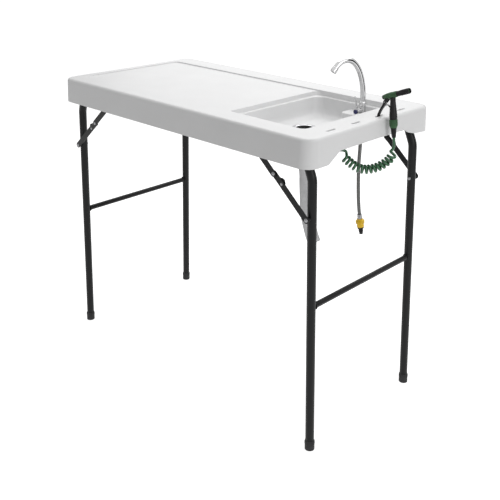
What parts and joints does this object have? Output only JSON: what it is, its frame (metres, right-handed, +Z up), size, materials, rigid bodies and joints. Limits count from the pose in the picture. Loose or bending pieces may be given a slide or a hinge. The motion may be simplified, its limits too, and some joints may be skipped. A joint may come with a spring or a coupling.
{
  "type": "folding camp sink table",
  "caption": "White folding camp sink table with black steel legs, chrome swivel tap, drain hose and a green spray gun on a curly hose parked in an end slot",
  "frame": {"origin": "centre of the bounding box of everything but the hoses, at floor level", "axes": "X along the length toward the sink end, Y across with the user at -Y, Z up"},
  "size_m": [1.235, 0.597, 1.1359],
  "materials": {
    "white_plastic": "blow-moulded white plastic, satin",
    "black_steel": "charcoal powder coat",
    "bare_steel": "pressed stainless steel",
    "chrome": "bright chrome plate",
    "black_plastic": "black moulded plastic",
    "black_rubber": "black rubber",
    "green_plastic": "green moulded plastic",
    "green_hose": "dark green polyurethane tube",
    "yellow_plastic": "yellow moulded plastic",
    "blue_plastic": "dark blue plastic button",
    "white_hose": "soft translucent white tube",
    "braid": "stainless braid over rubber",
    "white_nut": "white moulded plastic"
  },
  "bodies": {
    "far_legs": {"far_crossbar": "black_steel", "far_foot_back": "black_rubber", "far_foot_front": "black_rubber", "far_leg_back": "black_steel", "far_leg_front": "black_steel", "far_pivot_tube": "black_steel"},
    "far_lock_back": {"far_lock_hook_back": "black_steel"},
    "far_lock_front": {"far_lock_hook_front": "black_steel"},
    "far_lower_stays": {"far_lower_stay_back": "black_steel", "far_lower_stay_front": "black_steel"},
    "far_upper_stays": {"far_upper_stay_back": "black_steel", "far_upper_stay_front": "black_steel"},
    "gun": {"gun_collar": "green_plastic", "gun_grip": "black_plastic", "gun_head": "green_plastic", "gun_nozzle": "black_plastic", "gun_tail": "black_plastic"},
    "lever": {"tap_cap": "blue_plastic", "tap_lever": "chrome"},
    "sink_legs": {"sink_crossbar": "black_steel", "sink_foot_back": "black_rubber", "sink_foot_front": "black_rubber", "sink_leg_back": "black_steel", "sink_leg_front": "black_steel", "sink_pivot_tube": "black_steel"},
    "sink_lock_back": {"sink_lock_hook_back": "black_steel"},
    "sink_lock_front": {"sink_lock_hook_front": "black_steel"},
    "sink_lower_stays": {"sink_lower_stay_back": "black_steel", "sink_lower_stay_front": "black_steel"},
    "sink_upper_stays": {"sink_upper_stay_back": "black_steel", "sink_upper_stay_front": "black_steel"},
    "spout": {"aerator": "chrome", "spout": "chrome", "spout_nut": "chrome"},
    "table": {"curly_hose": "green_hose", "drain_gasket": "black_rubber", "drain_hose": "white_hose", "drain_nut": "white_nut", "drain_strainer": "bare_steel", "drain_tailpiece": "white_nut", "far_pivot_bracket_back": "black_steel", "far_pivot_bracket_front": "black_steel", "far_stay_bracket_back": "black_steel", "far_stay_bracket_front": "black_steel", "hose_coupling": "yellow_plastic", "hose_nipple": "black_plastic", "sink_pivot_bracket_back": "black_steel", "sink_pivot_bracket_front": "black_steel", "sink_stay_bracket_back": "black_steel", "sink_stay_bracket_front": "black_steel", "supply_ferrule_end": "bare_steel", "supply_ferrule_top": "bare_steel", "supply_hose": "braid", "supply_tee": "black_plastic", "table_top": "white_plastic", "tap_body": "chrome", "tap_flange": "chrome", "wing_nut": "yellow_plastic"},
    "trigger": {"gun_trigger": "black_plastic"}
  },
  "joints": [
    {"name": "sink_legs_fold", "type": "hinge", "parent": "table", "child": "sink_legs", "pos_m": [0.49475, 0, 0.929], "axis": [0, 1, 0], "range_deg": [0, 92.5], "deforming": ["drain_hose"]},
    {"name": "far_legs_fold", "type": "hinge", "parent": "table", "child": "far_legs", "pos_m": [-0.53725, 0, 0.9585], "axis": [0, -1, 0], "range_deg": [0, 92.5]},
    {"name": "sink_upper_stays_swing", "type": "hinge", "parent": "table", "child": "sink_upper_stays", "pos_m": [0.29875, 0, 0.958], "axis": [0, 1, 0], "range_deg": [0, 127.5]},
    {"name": "far_upper_stays_swing", "type": "hinge", "parent": "table", "child": "far_upper_stays", "pos_m": [-0.32325, 0, 0.958], "axis": [0, -1, 0], "range_deg": [0, 127.7]},
    {"name": "sink_lower_stays_swing", "type": "hinge", "parent": "sink_legs", "child": "sink_lower_stays", "pos_m": [0.52661, 0, 0.757], "axis": [0, -1, 0], "range_deg": [0, 124.9]},
    {"name": "far_lower_stays_swing", "type": "hinge", "parent": "far_legs", "child": "far_lower_stays", "pos_m": [-0.56972, 0, 0.743], "axis": [0, 1, 0], "range_deg": [0, 137.5]},
    {"name": "sink_lock_front_release", "type": "hinge", "parent": "sink_lower_stays", "child": "sink_lock_front", "pos_m": [0.43287, 0, 0.83969], "axis": [0, -1, 0], "range_deg": [0, 20], "stiffness_Nm_per_rad": 0.05, "springref_deg": -17.19},
    {"name": "sink_lock_back_release", "type": "hinge", "parent": "sink_lower_stays", "child": "sink_lock_back", "pos_m": [0.43287, 0, 0.83969], "axis": [0, -1, 0], "range_deg": [0, 20], "stiffness_Nm_per_rad": 0.05, "springref_deg": -17.19},
    {"name": "far_lock_front_release", "type": "hinge", "parent": "far_lower_stays", "child": "far_lock_front", "pos_m": [-0.47726, 0, 0.82366], "axis": [0, 1, 0], "range_deg": [0, 20], "stiffness_Nm_per_rad": 0.05, "springref_deg": -17.19},
    {"name": "far_lock_back_release", "type": "hinge", "parent": "far_lower_stays", "child": "far_lock_back", "pos_m": [-0.47726, 0, 0.82366], "axis": [0, 1, 0], "range_deg": [0, 20], "stiffness_Nm_per_rad": 0.05, "springref_deg": -17.19},
    {"name": "spout_swivel", "type": "hinge", "parent": "table", "child": "spout", "pos_m": [0.37475, 0.17, 0.9955], "axis": [0, 0, 1], "continuous": true},
    {"name": "tap_lever_turn", "type": "hinge", "parent": "table", "child": "lever", "pos_m": [0.37475, 0.17, 0.9654], "axis": [0, 1, 0], "range_deg": [0, 90]},
    {"name": "gun_lift", "type": "slide", "parent": "table", "child": "gun", "axis": [0, 0, 1], "range_m": [0, 0.05]},
    {"name": "trigger_squeeze", "type": "hinge", "parent": "gun", "child": "trigger", "pos_m": [0.53625, 0.057, 1.0375], "axis": [0, -1, 0], "range_deg": [0, 4], "stiffness_Nm_per_rad": 0.05, "springref_deg": -11.46}
  ],
  "couplings": [
    {"joint": "sink_upper_stays_swing", "follows": "sink_legs_fold", "ratio": 1.3769},
    {"joint": "sink_lower_stays_swing", "follows": "sink_legs_fold", "ratio": 1.3488},
    {"joint": "far_upper_stays_swing", "follows": "far_legs_fold", "ratio": 1.3781},
    {"joint": "far_lower_stays_swing", "follows": "far_legs_fold", "ratio": 1.4845}
  ]
}
